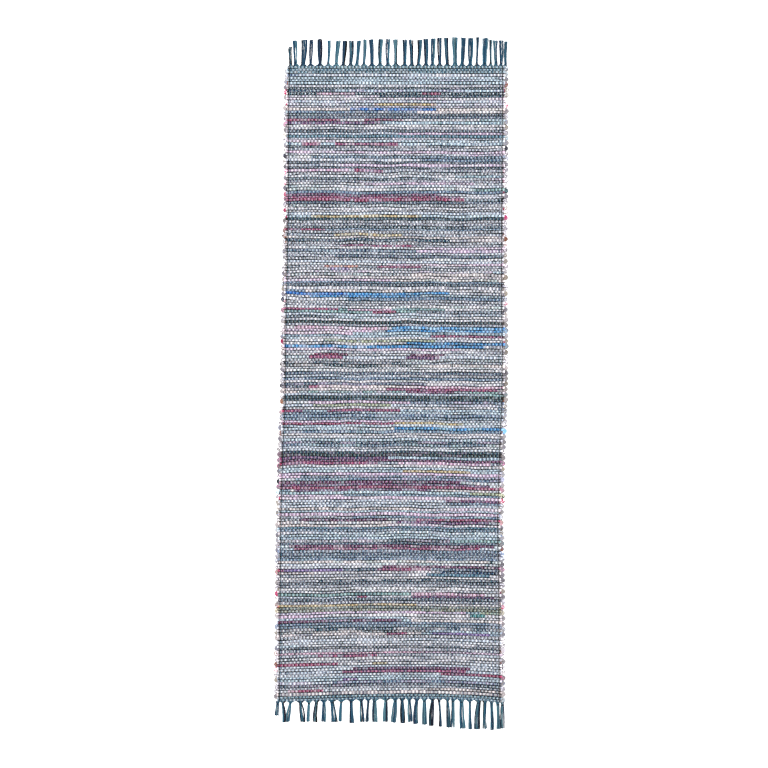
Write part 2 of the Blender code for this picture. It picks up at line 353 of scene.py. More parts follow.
SPANS = {
    "pink": (
        (10, 14, 31), (39, 0, 30), (91, 31, 50), (98, 5, 45), (120, 60, 97), (149, 55, 95),
        (198, 58, 90), (220, 0, 64),
    ),
    "crimson": (
        (10, 60, 70), (20, 0, 24), (20, 35, 52), (29, 10, 17), (29, 25, 53), (39, 33, 46), (49, 0, 80),
        (50, 0, 80), (61, 0, 20), (67, 26, 60), (75, 44, 62), (91, 0, 26), (92, 40, 50), (101, 67, 100),
        (108, 14, 29), (109, 14, 29), (120, 11, 16), (121, 48, 97), (129, 0, 12), (129, 22, 55),
        (134, 0, 50), (149, 0, 45), (170, 60, 100), (181, 10, 90), (189, 0, 6), (189, 46, 70),
        (199, 37, 42), (213, 50, 58), (221, 20, 45), (224, 0, 26), (227, 30, 85), (228, 72, 100),
        (234, 5, 21),
    ),
    "ochre": (
        (14, 39, 68), (56, 12, 60), (63, 24, 55), (134, 50, 80), (152, 55, 85), (202, 0, 60),
        (224, 42, 48),
    ),
    "cobalt": ((16, 28, 67), (85, 3, 30)),
    "denim": ((17, 0, 60), (61, 20, 100), (142, 0, 90), (154, 10, 100), (155, 10, 100)),
    "wine": (
        (21, 0, 45), (48, 0, 70), (108, 57, 72), (109, 57, 72), (122, 55, 75), (147, 0, 50),
        (156, 0, 80), (157, 0, 95), (159, 10, 70), (163, 75, 100), (170, 10, 48), (171, 55, 95),
        (180, 6, 95), (188, 46, 100), (199, 60, 97), (208, 0, 55), (226, 33, 85),
    ),
    "slate": ((30, 0, 80), (42, 0, 70), (69, 0, 60), (71, 25, 100), (111, 22, 50)),
    "ink": ((60, 0, 75),),
    "orange": ((75, 20, 36),),
    "purple": ((76, 20, 28), (189, 6, 30), (213, 70, 95), (230, 28, 34)),
    "cream": ((84, 10, 60),),
    "azure": (
        (85, 30, 75), (86, 12, 60), (98, 48, 100), (99, 48, 100), (104, 55, 100), (105, 2, 90),
        (136, 50, 100),
    ),
    "olive": ((103, 20, 70), (127, 15, 50), (160, 85, 100), (205, 90, 100)),
    "ice": ((160, 0, 85),),
    "mist": ((163, 0, 75), (164, 0, 75), (165, 0, 75)),
    "grey": ((178, 0, 50),),
    "navy": ((190, 72, 97),),
    "petrol": ((191, 68, 95),),
    "turquoise": ((206, 84, 90),),
}


def linear(colour):
    """Scene-linear values of 8-bit colours: a power of 2.4 above a short straight start."""
    share = np.asarray(colour, float) / 255
    return np.where(share <= 0.04045, share / 12.92, ((share + 0.055) / 1.055) ** 2.4)


def column(table, name, at):
    """A table's column at each y in at, straight between its rows."""
    rows = table[::-1]
    return np.interp(at, [row.y for row in rows], [getattr(row, name) for row in rows])


def bow(share, y):
    """How far a row runs up or down at a share of its width: the cubic through its four values."""
    knots = np.linspace(0.0, 1.0, 4)
    rise = 0.0
    for i, name in enumerate(Bow._fields[1:]):
        basis = 1.0
        for other in np.delete(knots, i):
            basis = basis * (share - other) / (knots[i] - other)
        rise = rise + basis * column(BOWS, name, y)
    return rise


def width_at(y):
    """The cloth's width over its rag loops, at each y."""
    return column(EDGES, "right", y) - column(EDGES, "left", y)


def lie(share, y):
    """Where a point of the flat weave lies: x straight between the two edges, y with the row's bow."""
    x = column(EDGES, "left", y) + share * width_at(y)
    return x - RUG_MIDDLE[0], y + bow(share, y) - RUG_MIDDLE[1]


def smooth_noise(seed, across, down, share, depth):
    """Random values from -1 to 1 on a coarse grid, blended by smooth steps between its points."""
    grid = np.random.default_rng(seed).uniform(-1.0, 1.0, (down + 2, across + 2))
    share, depth = np.broadcast_arrays(share, depth)
    x = np.clip(share, 0.0, 1.0) * across
    y = np.clip(depth, 0.0, 1.0) * down
    i = np.floor(x).astype(int)
    j = np.floor(y).astype(int)
    u = (x - i) ** 2 * (3 - 2 * (x - i))
    v = (y - j) ** 2 * (3 - 2 * (y - j))
    above = grid[j, i] * (1 - u) + grid[j, i + 1] * u
    below = grid[j + 1, i] * (1 - u) + grid[j + 1, i + 1] * u
    return above * (1 - v) + below * v


def rag_rows(rug):
    """The nominal middle and half width of each rag row: an even pitch with furrows jittered."""
    lines = np.linspace(EDGES[0].y, EDGES[-1].y, rug.rows + 1)
    rng = np.random.default_rng(SEED)
    lines[1:-1] += rng.uniform(-FURROW_JITTER, FURROW_JITTER, rug.rows - 1)
    return (lines[:-1] + lines[1:]) / 2, (lines[:-1] - lines[1:]) / 2


def wander(rug, share, row):
    """How far rows lie off their even run: slow waves that neighbours share, none at the two ends."""
    depth = (row + 0.5) / rug.rows
    slow = smooth_noise(SEED + 1, *SLOW_CHANGES, share, depth)
    quick = smooth_noise(SEED + 2, *QUICK_CHANGES, share, depth)
    fade = np.clip(WANDER_FADE * np.minimum(depth, 1 - depth), 0.0, 1.0)
    return (SLOW_WANDER * slow + QUICK_WANDER * quick) * fade


def crown(rug, share, row):
    """A rag's half height along its row, a little fuller here and thinner there."""
    swell = smooth_noise(SEED + 3, SWELL_CHANGES, rug.rows, share, (row + 0.5) / rug.rows)
    return rug.rag_height / 2 * (1 + RAG_SWELL * swell)


def end_share(rug, end, y):
    """Where a warp end crosses the width, as a share of it, for a y; doubled ends lie close to the last."""
    end = np.clip(end, -SELVEDGE_SPREAD, rug.ends - 1 + SELVEDGE_SPREAD)
    width = width_at(y)
    return (rug.selvedge + end * (width - 2 * rug.selvedge) / (rug.ends - 1)) / width


def make_piece(name, points, faces, maps, material):
    """A piece from arrays: points, four-sided faces, and UV maps that have a value for each corner."""
    mesh = bpy.data.meshes.new(name)
    mesh.from_pydata(points.reshape(-1, 3), [], faces.reshape(-1, 4))
    mesh.shade_smooth()
    for map_name, corners in maps.items():
        layer = mesh.uv_layers.new(name=map_name, do_init=False)
        layer.uv.foreach_set("vector", np.ascontiguousarray(corners, dtype=np.float32).ravel())
    mesh.materials.append(material)
    piece = bpy.data.objects.new(name, mesh)
    bpy.context.scene.collection.objects.link(piece)
    return piece


def add_values(piece, name, domain, values, kind="FLOAT", field="value"):
    """Store a number for each point or face of a piece."""
    layer = piece.data.attributes.new(name, kind, domain)
    layer.data.foreach_set(field, np.ascontiguousarray(values, dtype=np.float32).ravel())


def add_colours(piece, name, domain, colours):
    """Store a linear colour for each point or face of a piece."""
    colours = np.concatenate([colours, np.ones_like(colours[:, :1])], axis=1)
    add_values(piece, name, domain, colours, "FLOAT_COLOR", "color")


def face_corners(grid):
    """What a grid's points hold at each face's near left, near right, far right and far left corner."""
    near, far = grid[..., :-1, :], grid[..., 1:, :]
    return np.stack([near[..., :-1], near[..., 1:], far[..., 1:], far[..., :-1]], axis=-1)


def corner_values(u, v):
    """A UV pair for each corner of the faces between the points of grids of u and v."""
    return np.stack([face_corners(part) for part in np.broadcast_arrays(u, v)], axis=-1)


def join_corners(*parts):
    """One list of corners' UV pairs from several."""
    return np.concatenate([part.reshape(-1, 2) for part in parts])


def sections(centres, half_width, half_height, profile):
    """Sections carried along each path: centre + half_width p side + half_height q up.

    The profile's points are p and q. Side is level and square to the path, and up is square to both.
    """
    ahead = np.gradient(centres, axis=-2)
    ahead /= np.linalg.norm(ahead, axis=-1, keepdims=True)
    side = np.stack([-ahead[..., 1], ahead[..., 0], np.zeros_like(ahead[..., 0])], axis=-1)
    side /= np.linalg.norm(side, axis=-1, keepdims=True)
    up = np.cross(ahead, side)
    p, q = np.asarray(profile).T[..., None]
    across = half_width[..., None, None] * p * side[..., None, :]
    upward = half_height[..., None, None] * q * up[..., None, :]
    return centres[..., None, :] + across + upward


def tube_faces(tubes, stations, sides):
    """Faces of closed tubes: the walls by tube, station and side, then both ends of each tube.

    An end is closed across its ring in four-sided faces.
    """
    ring = np.arange(sides + 1) % sides
    wall = face_corners(np.arange(tubes * stations).reshape(tubes, stations, 1) * sides + ring)
    half = np.arange(sides // 2 - 1)
    cap = np.stack([sides - 1 - half, sides - 2 - half, half + 1, half], axis=-1)
    first = np.arange(tubes)[:, None, None] * stations * sides
    caps = np.stack([first + cap, first + (stations - 1) * sides + cap[:, ::-1]], axis=1)
    return wall.reshape(-1, 4), caps.reshape(-1, 4)


def cap_corners(tubes, sides):
    """Bake-map corners for tubes' ends: a small patch at the top of each tube's strip."""
    across = np.array((CAP_INSET, 1 - CAP_INSET, 1 - CAP_INSET, CAP_INSET))
    u = (np.arange(tubes)[:, None] + across) / tubes
    v = np.broadcast_to((CAP_START, CAP_START, 1.0, 1.0), u.shape)
    return np.repeat(np.stack([u, v], axis=-1), 2 * (sides // 2 - 1), axis=0)


def path_lengths(centres):
    """How far along its path each station lies, from 0 at the first."""
    step = np.linalg.norm(np.diff(centres, axis=-2), axis=-1)
    return np.concatenate([np.zeros_like(step[..., :1]), np.cumsum(step, axis=-1)], axis=-1)


def ring_points(sides):
    """The points of a regular ring, anticlockwise."""
    angle = np.arange(sides) / sides * 2 * np.pi
    return np.column_stack([np.cos(angle), np.sin(angle)])


def rag_kinds(rug, share, row):
    """Which rag shows at each station, a second kind that its dye turns towards, and how far it does.

    Rags of random lengths lie end to end, drawn from one shuffled pile after another so that the tone
    stays level, and the charted stripes go over them. The dye turns by strength x (level + noise), and
    in a charted stripe by strength x (level + depth x noise), less in a row of one rag.
    """
    rng = np.random.default_rng(SEED + 4)
    count = int(rug.rows / SHORTEST_RAG)
    joins = np.cumsum(rng.uniform(SHORTEST_RAG, LONGEST_RAG, count) / width_at(0.0))
    pile = np.repeat(np.arange(len(RAGS)), [rag.share for rag in RAGS])
    kinds = rng.permuted(np.tile(pile, (count // len(pile) + 1, 1)), axis=1).ravel()
    number = np.searchsorted(joins, row + np.where(row % 2 == 0, share, 1 - share))
    found = kinds[number]
    other = rng.integers(0, DYE_KINDS, len(kinds))[number]
    turn = smooth_noise(SEED + 6, DYE_CHANGES, 2 * rug.rows, share, (row + 0.5) / rug.rows)
    turn = DYE_STRENGTH * np.clip(DYE_LEVEL + turn, 0.0, 1.0)
    broken = smooth_noise(SEED + 7, STRIPE_BREAKS, 2 * rug.rows, share, (row + 0.5) / rug.rows)
    broken = DYE_STRENGTH * np.clip(STRIPE_LEVEL + STRIPE_DEPTH * broken, 0.0, 1.0)
    names = [rag.name for rag in RAGS]
    for rag, rows in WHOLE_ROWS.items():
        inside = np.isin(row, rows)
        found[inside] = names.index(rag)
        turn[inside] = broken[inside] * WHOLE_BREAKS
    for rag, spans in SPANS.items():
        for number, start, end in spans:
            inside = (row == number) & (share >= start / 100) & (share <= end / 100)
            found[inside] = names.index(rag)
            turn[inside] = broken[inside]
    return found, other, turn[:, None]


def length(name, description, default, least):
    """A setting that is a length in metres."""
    look = {"unit": "LENGTH", "subtype": "DISTANCE"}
    return FloatProperty(name=name, description=description, default=default, min=least, **look)


class RugSettings(bpy.types.PropertyGroup):
    """Sizes of the weave"""

    rows: IntProperty(name="Rag rows", description="Rag rows down the cloth", default=238, min=2)
    ends: IntProperty(name="Warp ends", description="Warp yarns across", default=355, min=7)
    rag_height: length("Rag height", "Thickness of a packed rag between the warp ends", 0.005, 0.001)
    rag_middle: length("Rag middle", "Height of a rag's middle over the floor", 0.00295, 0.001)
    selvedge: length("Selvedge", "How far the last warp end lies inside the rags' loops", 0.0174, 0.0)
    yarn: length("Fringe yarn", "Thickness of a loose yarn in the fringe", 0.0022, 0.0003)


class StageSettings(bpy.types.PropertyGroup):
    """The floor, the light and the camera"""

    floor_colour: FloatVectorProperty(
        name="Floor colour",
        description="Colour of the plain floor",
        default=(0.94, 0.94, 0.94),
        size=3,
        min=0.0,
        max=1.0,
        subtype="COLOR",
    )
    floor_size: length("Floor size", "Width of the square floor", 40.0, 3.0)
    sky: FloatProperty(
        name="Sky light", description="Strength of the even light from all round", default=2.2, min=0.0
    )
    lamp_power: FloatProperty(
        name="Lamp power",
        description="Power of the soft lamp overhead",
        default=240.0,
        min=0.0,
        unit="POWER",
    )
    lamp_size: length("Lamp size", "Width of the square lamp", 3.0, 0.1)
    camera_height: length("Camera height", "How far the camera hangs over the floor", 6.0, 1.0)
    view_width: length("View width", "Width of floor that the camera sees", 2.3685, 0.5)


def new_material(name, roughness, sheen):
    """A matt material, and its shader."""
    material = bpy.data.materials.new(name)
    material.use_nodes = True
    shader = material.node_tree.nodes["Principled BSDF"]
    shader.inputs["Roughness"].default_value = roughness
    shader.inputs["Specular IOR Level"].default_value = 0.08
    shader.inputs["Sheen Weight"].default_value = sheen
    shader.inputs["Sheen Roughness"].default_value = 0.5
    return material, shader


def add_node(tree, kind, settings=None, **inputs):
    """A node with its settings and inputs; an input is a value or another node's output.

    An input goes by its name, or by i and its number.
    """
    node = tree.nodes.new(kind)
    for key, value in (settings or {}).items():
        setattr(node, key, value)
    for key, value in inputs.items():
        socket = node.inputs[int(key[1:]) if key[1:].isdigit() else key]
        if isinstance(value, bpy.types.NodeSocket):
            tree.links.new(value, socket)
        else:
            socket.default_value = value
    return node


def attribute(tree, name, output="Fac"):
    """The value or colour that a piece's mesh carries under a name."""
    return add_node(tree, "ShaderNodeAttribute", {"attribute_name": name}).outputs[output]


def woven_vector(tree, scale):
    """The piece's own weave map, in metres along and across, stretched by a scale for each."""
    uv = add_node(tree, "ShaderNodeUVMap", {"uv_map": "weave"}).outputs["UV"]
    return add_node(tree, "ShaderNodeMapping", Vector=uv, Scale=scale).outputs["Vector"]


def noise(tree, vector, scale, detail):
    """The grey value of a noise texture."""
    return add_node(tree, "ShaderNodeTexNoise", Vector=vector, Scale=scale, Detail=detail).outputs["Fac"]


def math(tree, operation, a, b=0.0, c=0.0):
    """The result of a math node."""
    return add_node(tree, "ShaderNodeMath", {"operation": operation}, i0=a, i1=b, i2=c).outputs[0]


def ranged(tree, value, low, high, to_low, to_high):
    """A value brought from one range to another and held inside it."""
    node = add_node(tree, "ShaderNodeMapRange", None, i0=value, i1=low, i2=high, i3=to_low, i4=to_high)
    return node.outputs[0]


def mix(tree, share, a, b, blend="MIX"):
    """Two colours blended by a share."""
    settings = {"data_type": "RGBA", "blend_type": blend}
    return add_node(tree, "ShaderNodeMix", settings, i0=share, i6=a, i7=b).outputs[2]


def shade(tree, colour, factor):
    """A colour made lighter or darker by a factor."""
    grey = add_node(tree, "ShaderNodeCombineColor", None, i0=factor, i1=factor, i2=factor).outputs[0]
    return mix(tree, 1.0, colour, grey, "MULTIPLY")


def shade_all(tree, colour, values, shades):
    """A colour shaded by each value over its range."""
    for name, span in shades.items():
        colour = shade(tree, colour, ranged(tree, values[name], *span))
    return colour


def give_skin(tree, shader, colour, height, distance, strength):
    """Give a shader its colour, and a bump from a height."""
    bump = add_node(tree, "ShaderNodeBump", Height=height, Distance=distance, Strength=strength)
    tree.links.new(colour, shader.inputs["Base Color"])
    tree.links.new(bump.outputs["Normal"], shader.inputs["Normal"])


def woven_wave(tree, name):
    """The cosine of pi times a phase where the rag is woven, and -1 in its turns."""
    wave = math(tree, "COSINE", math(tree, "MULTIPLY", attribute(tree, name), np.pi))
    return math(tree, "MULTIPLY_ADD", math(tree, "ADD", wave, 1.0), attribute(tree, "woven"), -1.0)


def rag_material():
    """Cotton rag: printed flecks, lengthwise folds, wear, and a pillow between each two warp ends, with
    painted shade in the folds, at the pillows' edges, in the furrows and beside the dark floats.
    """
    material, shader = new_material("rag_cotton", roughness=0.95, sheen=0.02)
    tree = material.node_tree
    marks, fold_bump_and_shade, shade_spread = (
        noise(tree, woven_vector(tree, stretch), scale, detail)
        for stretch, scale, detail in (PRINT_NOISE, FOLD_NOISE, SHADE_SPREAD_NOISE)
    )
    edge = math(tree, "MULTIPLY_ADD", attribute(tree, "rag_print"), PRINT_FALL, PRINT_START)
    printed = ranged(tree, math(tree, "SUBTRACT", marks, edge), *PRINT_EDGE)
    cloth = attribute(tree, "rag_colour", "Color")
    colour = mix(tree, printed, cloth, attribute(tree, "rag_ink", "Color"))
    where = add_node(tree, "ShaderNodeTexCoord").outputs["Object"]
    # A wave between each two warp ends: a bump, and painted shade where the floats pinch the rag
    pillow_bump_and_shade = woven_wave(tree, "warp_phase")
    shade_spread = math(tree, "SUBTRACT", shade_spread, 0.5)
    block = math(tree, "FLOOR", math(tree, "MULTIPLY", attribute(tree, "warp_phase"), 0.5))
    seed = math(tree, "MULTIPLY_ADD", attribute(tree, "rag_row"), BLOCK_STRIDE, block)
    chance = add_node(tree, "ShaderNodeTexWhiteNoise", {"noise_dimensions": "1D"}, W=seed)
    values = {
        # Painted shade in the folds, which also give the bump
        "fold_bump_and_shade": fold_bump_and_shade,
        "wear": noise(tree, where, *WEAR_NOISE),
        "pillow_bump_and_shade": pillow_bump_and_shade,
        # Painted shade in the furrows, spread unevenly by noise
        "painted_furrow_shade": math(tree, "MULTIPLY_ADD", shade_spread, SHADE_SPREAD_DEPTH, attribute(tree, "painted_furrow_shade")),
        # Painted shade on the rag beside the black and navy floats
        "dark_float_shade": woven_wave(tree, "float_shade_phase"),
        "block": chance.outputs["Value"],
    }
    colour = shade_all(tree, colour, values, RAG_SHADES)
    height = math(tree, "MULTIPLY_ADD", pillow_bump_and_shade, PILLOW_BUMP, math(tree, "MULTIPLY", fold_bump_and_shade, FOLD_BUMP))
    give_skin(tree, shader, colour, height, distance=0.0007, strength=0.9)
    return material


def yarn_material(name, colour=None, fleck=None):
    """Plied yarn: slanting ply lines, pale flecks, painted shade where a warp float dives into a furrow,
    and a colour of its own or from each point.
    """
    material, shader = new_material(name, roughness=0.9, sheen=0.04)
    tree = material.node_tree
    vector = woven_vector(tree, (1.0, 1.0, 1.0))
    flecks = ranged(tree, noise(tree, vector, *FLECK_NOISE), *YARN_FLECKS)
    if colour is None:
        base = attribute(tree, "yarn_colour", "Color")
        pale = shade(tree, base, PALE_FLECK)
    else:
        base = (*linear(colour), 1.0)
        pale = (*linear(fleck), 1.0)
    settings = {"wave_type": "BANDS", "bands_direction": "DIAGONAL"}
    node = add_node(tree, "ShaderNodeTexWave", settings, Vector=vector, Scale=420.0, Distortion=1.0)
    # Ply lines, and painted shade at the floats' ends
    values = {"plies": node.outputs["Fac"], "painted_furrow_shade": attribute(tree, "painted_furrow_shade")}
    colour = shade_all(tree, mix(tree, flecks, base, pale), values, YARN_SHADES)
    give_skin(tree, shader, colour, values["plies"], distance=0.0002, strength=0.6)
    return material


class RAG_RUG_OT_warp(bpy.types.Operator):
    """Lay the warp: for each yarn of the repeat, its floats over and under the rag rows"""

    bl_idname = "rag_rug.warp"
    bl_label = "Lay Warp"

    def execute(self, context):
        rug = context.scene.rag_rug
        for number, warp in enumerate(WARPS):
            piece = self.lay(rug, number, warp)
            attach(piece, "root")
            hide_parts("woven_field")
        return {"FINISHED"}

    def lay(self, rug, number, warp):
        """One yarn's floats: over a row where its number and the end's make an even sum, else under.

        The first yarn is also doubled at each selvedge, one place further out.
        """
        ends = np.arange(number, rug.ends, len(WARPS))
        if number == 0:
            ends = np.concatenate([[-1], ends, [rug.ends]])
        place, row = np.meshgrid(np.arange(len(ends)), np.arange(rug.rows))
        end = ends[place]
        cell = (place + 0.5) / len(ends)
        over = (end + row) % 2 == 0
        top, top_maps = self.floats(rug, end[over], row[over], cell[over], warp, number)
        under, under_maps = self.undersides(rug, end[~over], row[~over], cell[~over], warp)
        grid = np.arange(top[..., 0].size).reshape(top.shape[:-1])
        under_faces = np.arange(under.shape[0] * 4).reshape(-1, 4) + grid.size
        faces = np.concatenate([face_corners(grid).reshape(-1, 4), under_faces])
        points = np.concatenate([top.reshape(-1, 3), under.reshape(-1, 3)])
        maps = {name: join_corners(top_maps[name], under_maps[name]) for name in top_maps}
        material = yarn_material(warp.name, warp.colour, warp.fleck)
        piece = make_piece(warp.name, points, faces, maps, material)
        # Painted shade at the floats' ends, none on the undersides
        painted_furrow_shade = np.repeat(FLOAT_PAINTED_SHADE, top.shape[2])
        painted_furrow_shade = np.concatenate([np.tile(painted_furrow_shade, len(top)), np.zeros(under.shape[0] * 4)])
        add_values(piece, "painted_furrow_shade", "POINT", painted_furrow_shade)
        return piece

    def floats(self, rug, end, row, cell, warp, number):
        """Points and maps of the floats over the rags, four stations by three points each.

        A point lies t half rows along the warp from the row's middle and p half widths across. Its
        height is the rag's crown plus the station's rise, less a drop where p isn't 0.
        """
        rng = np.random.default_rng(SEED + 20 + number)
        t = np.array(FLOAT_STATIONS)[:, None]
        p = np.array((-1.0, 0.0, 1.0))
        shift = smooth_noise(SEED + 5, rug.ends, END_CHANGES, end / rug.ends, row / rug.rows)
        shift = END_WANDER * (shift + FLOAT_WANDER * rng.uniform(-1, 1, len(row)))
        width = warp.width / 2 * rng.uniform(*FLOAT_WIDTHS, len(row))
        width = np.where((end < 1) | (end > rug.ends - 2), SELVEDGE_WIDTH / 2, width)
        parts = (end, row, cell, shift, width)
        end, row, cell, shift, width = (part[:, None, None] for part in parts)
        share, x, y, weave, bake = self.places(rug, end, row, cell, t, p, warp)
        rise = np.array(FLOAT_RISE)[:, None]
        z = rug.rag_middle + crown(rug, share, row) + rise - FLOAT_DROP * np.abs(p)
        maps = {"weave": corner_values(*weave), "OFBake": corner_values(*bake)}
        return np.stack([x + shift + p * width, y, z], axis=-1), maps

    def undersides(self, rug, end, row, cell, warp):
        """Points and maps of the yarn where it passes under a rag, one downward face for each row."""
        t = np.array((1.0, 1.0, -1.0, -1.0)) * UNDER_SHARE
        p = np.array((-1.0, 1.0, 1.0, -1.0))
        end, row, cell = (part[:, None] for part in (end, row, cell))
        _, x, y, weave, bake = self.places(rug, end, row, cell, t, p, warp)
        x = x + p * warp.width / 2
        maps = {"weave": np.stack(weave, axis=-1), "OFBake": np.stack(bake, axis=-1)}
        return np.stack([x, y, 0 * x + UNDER_HEIGHT], axis=-1), maps

    def places(self, rug, end, row, cell, t, p, warp):
        """Where points t half rows along an end and p half widths off it lie, and their maps.

        That is their share of the width, the x of the end itself, their y, and a pair for each map.
        """
        middles, halves = rag_rows(rug)
        run = middles[row] + t * halves[row]
        share = end_share(rug, end, run)
        x, y = lie(share, run)
        y = y + wander(rug, share, row) + 0 * p
        weave = (p * warp.width / 2 + end * WEAVE_GAP, y)
        return share, x, y, weave, (cell + CELL_HALF * p, (row + 0.5 - CELL_DEPTH * t) / rug.rows)


class RAG_RUG_OT_weft(bpy.types.Operator):
    """Weave the weft: one long rag, back and forth across the warp, turned round at both edges"""

    bl_idname = "rag_rug.weft"
    bl_label = "Weave Weft"

    def execute(self, context):
        rug = context.scene.rag_rug
        piece = self.weave(rug)
        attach(piece, "root")
        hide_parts("woven_field")
        return {"FINISHED"}

    def path(self, rug):
        """The weft's stations: share of the width, row, depth in rows, nominal y and reach past it.

        A turn is a blunt half ellipse of random reach. It lies the root of sin(a) of it outward, and its
        y is the mean of its two rows' plus half their difference times cos(a).
        """
        middles, _ = rag_rows(rug)
        turns = np.random.default_rng(SEED + 9).uniform(*TURN_REACHES, (rug.rows, 1))
        middles = middles[:, None]
        row = np.arange(rug.rows)[:, None]
        inset = TURN_INSET / width_at(middles)
        first = (rug.selvedge - SELVEDGE_WIDTH - TURN_INSET) / width_at(0.0)
        places = np.concatenate([[0.0], np.linspace(first, 1 - first, RAG_STATIONS - 2), [1.0]])
        straight = inset + (1 - 2 * inset) * places
        angle = np.arange(1, TURN_STATIONS + 1) / (TURN_STATIONS + 1) * np.pi
        share = np.concatenate([straight, np.repeat(1 - inset, TURN_STATIONS, axis=1)], axis=1)
        share = np.where(row % 2 == 0, share, 1 - share)
        following = np.append(middles[1:], middles[-1:], axis=0)
        bend = (middles + following) / 2 + (middles - following) / 2 * np.cos(angle)
        run = np.concatenate([np.repeat(middles, RAG_STATIONS, axis=1), bend], axis=1)
        outward = np.where(row % 2 == 0, RIGHT_REACH, -LEFT_REACH) * turns * np.sqrt(np.sin(angle))
        reach = np.concatenate([np.zeros_like(straight), outward], axis=1)
        depth = np.concatenate([row + 0 * straight, row + (1 - np.cos(angle)) / 2], axis=1)
        number = np.broadcast_to(row, share.shape)
        return [part.ravel()[:-TURN_STATIONS] for part in (share, number, depth, run, reach)]

    def weave(self, rug):
        """The rag's tube, with each face's colours and each point's place between the warp ends."""
        share, row, depth, run, reach = self.path(rug)
        _, halves = rag_rows(rug)
        turned = reach != 0
        outside = np.minimum(share, 1 - share) * width_at(run) < TURN_INSET + MILLIMETRE
        x, y = lie(share, run)
        height = crown(rug, share, depth) * np.where(turned, TURN_FLATTEN, 1.0)
        lift = rug.rag_middle - np.where(turned, (1 - TURN_FLATTEN) * rug.rag_height / 2, 0.0)
        turns = np.random.default_rng(SEED + 10).uniform(*TURN_WIDTHS, rug.rows) * TURN_HALF_WIDTH
        width = np.where(turned, turns[row], halves[row] + RAG_OVERLAP)
        centres = np.stack([x + reach, y + wander(rug, share, depth), lift], axis=-1)[None]
        points = sections(centres, width[None], height[None], RAG_SECTION)
        sides = len(RAG_SECTION)
        wall, caps = tube_faces(1, len(share), sides)
        maps = self.maps(rug, centres[0], row, sides)
        piece = make_piece("weft_rags", points, np.concatenate([wall, caps]), maps, rag_material())
        kinds, others, turn = rag_kinds(rug, share, row)
        cloth, ink = (linear([getattr(rag, part) for rag in RAGS]) for part in ("colour", "ink"))
        cloth = cloth[kinds] + turn * (cloth[others] - cloth[kinds])
        tone = smooth_noise(SEED + 8, TONE_CHANGES, 2 * rug.rows, share, (row + 0.5) / rug.rows)
        cloth = np.clip(cloth * (1 + TONE_DEPTH * tone)[:, None], 0.0, BRIGHTEST_CLOTH)
        # Outside the last warp end most rows take a darker cloth, painted shade for the shade and gaps
        # among the loops
        chance = np.random.default_rng(SEED + 13).uniform(0.0, 1.0, rug.rows)[row]
        number = np.searchsorted(np.cumsum(TURN_SHARES), chance)
        other = linear((*SHADED_TURN_CLOTHS, SHADED_TURN_CLOTHS[0]))[number]
        cloth = np.where((outside & (number < len(SHADED_TURN_CLOTHS)))[:, None], other, cloth)
        prints = np.array([rag.print for rag in RAGS])
        walls = np.repeat(np.arange(len(share) - 1), sides)
        station = np.append(walls, np.repeat((0, -1), len(caps) // 2))
        add_colours(piece, "rag_colour", "FACE", cloth[station])
        add_colours(piece, "rag_ink", "FACE", ink[kinds[station]])
        add_values(piece, "rag_print", "FACE", prints[kinds[station]])
        add_values(piece, "rag_row", "FACE", row[station])
        # Painted shade in the furrows between rows
        add_values(piece, "painted_furrow_shade", "POINT", self.furrow_shade(rug, share, row, outside))
        width = width_at(run)
        end = (share * width - rug.selvedge) / (width - 2 * rug.selvedge) * (rug.ends - 1)
        add_values(piece, "woven", "POINT", np.repeat(1.0 - outside, sides))
        add_values(piece, "warp_phase", "POINT", np.repeat(end + row, sides))
        # Phase from the black and navy floats, for painted shade on the rag beside them
        add_values(piece, "float_shade_phase", "POINT", np.repeat(end / (len(WARPS) / 2) - row, sides))
        return piece

    def furrow_shade(self, rug, share, row, outside):
        """How much painted shade each point of the sections gets in the furrows: 1 at a rag's sides, times
        how far the shade spreads there.

        The shade spreads by 1 + depth x noise, and is lighter in a turn at the selvedge, which lies open. A
        rag's left side is in the furrow above it in even rows and below it in odd ones.
        """
        shade_spreads = []
        for line in (row + row % 2, row + 1 - row % 2):
            shade_spread = smooth_noise(SEED + 12, FURROW_CHANGES, 2 * rug.rows, share, line / rug.rows)
            shade_spreads.append(np.clip(1 + FURROW_DEPTH * shade_spread[:, None], *FURROW_SHADE_SPREADS))
        left = np.array([across > 0 for across, _ in RAG_SECTION])
        return np.where(outside[:, None], TURN_PAINTED_SHADE, np.where(left, shade_spreads[0], shade_spreads[1])) * SECTION_PAINTED_SHADE

    def maps(self, rug, centres, row, sides):
        """The weave map in metres, and one that gives each row a strip, most of it the rag's top."""
        stride = RAG_STATIONS + TURN_STATIONS
        along = path_lengths(centres)[:, None]
        weave = corner_values(along, np.arange(sides + 1) / sides * SECTION_GIRTH)
        start = (np.arange(len(row) - 1) % stride)[:, None, None] / stride * WALL_SHARE
        u = start + np.array((0.0, 0.0, 1.0, 1.0)) / stride * WALL_SHARE
        starts = np.array(SECTION_STARTS)
        v = np.stack([starts[:-1], starts[1:], starts[1:], starts[:-1]], axis=-1)
        v = (row[:-1, None, None] + v) / rug.rows
        bake = np.stack(np.broadcast_arrays(u, v), axis=-1)
        caps = cap_corners(1, sides)[..., ::-1]
        return {"weave": join_corners(weave, caps), "OFBake": join_corners(bake, caps)}


